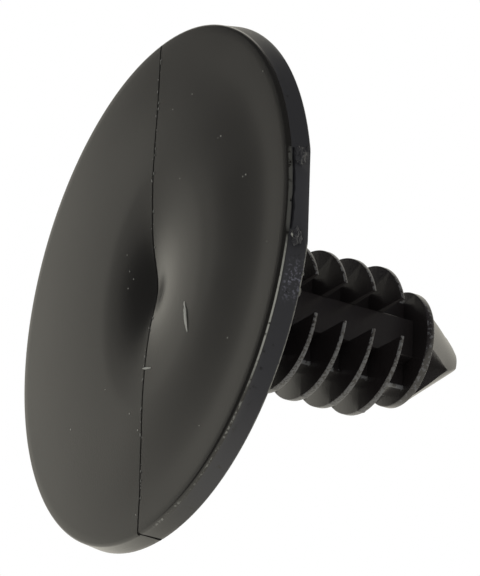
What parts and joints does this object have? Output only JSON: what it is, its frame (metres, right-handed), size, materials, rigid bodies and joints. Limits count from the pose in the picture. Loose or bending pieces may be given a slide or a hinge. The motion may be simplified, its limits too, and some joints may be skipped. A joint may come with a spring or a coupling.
{
  "type": "plastic push rivet",
  "caption": "one-piece push rivet: thin round head with a bulged face and a sink mark, finned fir-tree shank with a collar and a cross-shaped arrow tip",
  "frame": {"origin": "middle of the head's face, on the plane that the face stands on", "axes": "+Z runs from the head along the shank to the tip; Y is the mould's pull, with the larger rim flat at -Y; X lies in the mould's parting plane"},
  "size_m": [0.03, 0.0296, 0.0204],
  "materials": {
    "black_plastic": "satin black moulded nylon"
  },
  "bodies": {
    "root": {"push_rivet": "black_plastic"}
  },
  "joints": []
}
